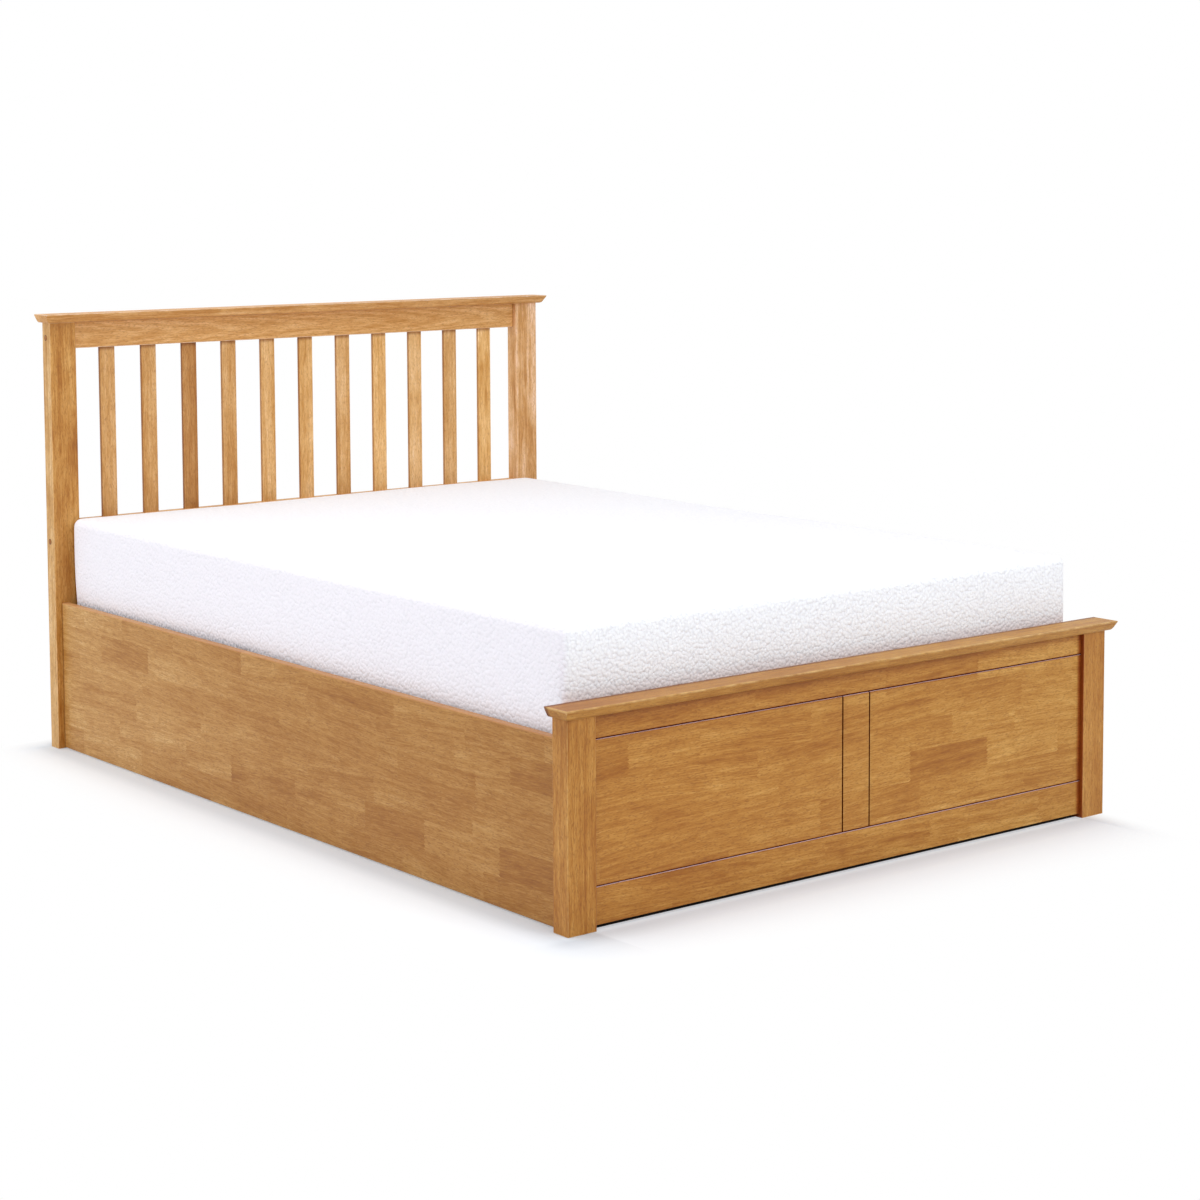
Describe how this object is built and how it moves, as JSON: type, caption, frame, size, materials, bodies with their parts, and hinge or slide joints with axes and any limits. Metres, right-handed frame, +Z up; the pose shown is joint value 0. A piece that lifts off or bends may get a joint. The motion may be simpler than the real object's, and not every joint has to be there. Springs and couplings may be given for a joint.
{
  "type": "ottoman bed",
  "caption": "Wooden double ottoman bed with a slatted headboard, panelled footboard, solid side panels and a storage space under a mattress platform that lifts on strut-assisted hinges.",
  "frame": {"origin": "on the floor, at the middle of the bed's footprint", "axes": "+Z up, +Y towards the headboard, so the footboard faces -Y; X runs across the bed and the left side is at -X"},
  "size_m": [1.478, 2.033, 1.0373],
  "materials": {
    "oak_stained_wood": "satin",
    "plain_wood": "matte",
    "hardboard": "matte",
    "black_steel": "satin",
    "bright_rod": "polished",
    "mattress_cloth": "matte",
    "strap_webbing": "matte"
  },
  "bodies": {
    "bed_base": {"head_post_left": "oak_stained_wood", "head_post_right": "oak_stained_wood", "head_cap_rail": "oak_stained_wood", "head_top_rail": "oak_stained_wood", "head_lower_rail": "oak_stained_wood", "head_panel": "oak_stained_wood", "head_slat_01": "oak_stained_wood", "head_slat_02": "oak_stained_wood", "head_slat_03": "oak_stained_wood", "head_slat_04": "oak_stained_wood", "head_slat_05": "oak_stained_wood", "head_slat_06": "oak_stained_wood", "head_slat_07": "oak_stained_wood", "head_slat_08": "oak_stained_wood", "head_slat_09": "oak_stained_wood", "head_slat_10": "oak_stained_wood", "head_slat_11": "oak_stained_wood", "foot_post_left": "oak_stained_wood", "foot_post_right": "oak_stained_wood", "foot_cap_rail": "oak_stained_wood", "foot_panel": "oak_stained_wood", "side_panel_left": "oak_stained_wood", "side_panel_right": "oak_stained_wood", "side_batten_left": "plain_wood", "side_batten_right": "plain_wood", "foot_batten": "plain_wood", "floor_bearer_foot": "plain_wood", "floor_bearer_middle": "plain_wood", "floor_bearer_head": "plain_wood", "floor_panel_foot": "hardboard", "floor_panel_head": "hardboard", "hinge_plate_left": "black_steel", "hinge_plate_right": "black_steel"},
    "rear_arms": {"rear_arm_left": "black_steel", "rear_arm_right": "black_steel"},
    "lift_platform": {"lift_frame": "black_steel", "platform_bracket_left": "black_steel", "platform_bracket_right": "black_steel", "mattress": "mattress_cloth", "mattress_stop": "black_steel", "pull_strap": "strap_webbing", "bed_slat_01": "plain_wood", "bed_slat_02": "plain_wood", "bed_slat_03": "plain_wood", "bed_slat_04": "plain_wood", "bed_slat_05": "plain_wood", "bed_slat_06": "plain_wood", "bed_slat_07": "plain_wood", "bed_slat_08": "plain_wood", "bed_slat_09": "plain_wood", "bed_slat_10": "plain_wood", "bed_slat_11": "plain_wood", "bed_slat_12": "plain_wood"},
    "front_arms": {"front_arm_left": "black_steel", "front_arm_right": "black_steel"},
    "strut_cylinders": {"strut_cylinder_left": "black_steel", "strut_cylinder_right": "black_steel"},
    "strut_rods": {"strut_rod_left": "bright_rod", "strut_rod_right": "bright_rod"}
  },
  "joints": [
    {"name": "rear_arm_swing", "type": "hinge", "parent": "bed_base", "child": "rear_arms", "pos_m": [0, 0.4175, 0.091], "axis": [1, 0, 0], "range_deg": [0, 41.5]},
    {"name": "platform_tilt", "type": "hinge", "parent": "rear_arms", "child": "lift_platform", "pos_m": [0, 0.6805, 0.248], "axis": [-1, 0, 0], "range_deg": [0, 77.6]},
    {"name": "front_arm_swing", "type": "hinge", "parent": "bed_base", "child": "front_arms", "pos_m": [0, 0.2225, 0.05], "axis": [1, 0, 0], "range_deg": [0, 34.4]},
    {"name": "strut_swing", "type": "hinge", "parent": "bed_base", "child": "strut_cylinders", "pos_m": [0, 0.4755, 0.055], "axis": [1, 0, 0], "range_deg": [0, 14.4]},
    {"name": "strut_slide", "type": "slide", "parent": "strut_cylinders", "child": "strut_rods", "axis": [0, -0.5952, 0.8036], "range_m": [0, 0.112]}
  ],
  "couplings": [
    {"joint": "platform_tilt", "follows": "rear_arm_swing", "ratio": 1.8695},
    {"joint": "front_arm_swing", "follows": "rear_arm_swing", "ratio": 0.82841},
    {"joint": "strut_swing", "follows": "rear_arm_swing", "ratio": 0.34605},
    {"joint": "strut_slide", "follows": "rear_arm_swing", "m_per_rad": 0.15441}
  ]
}
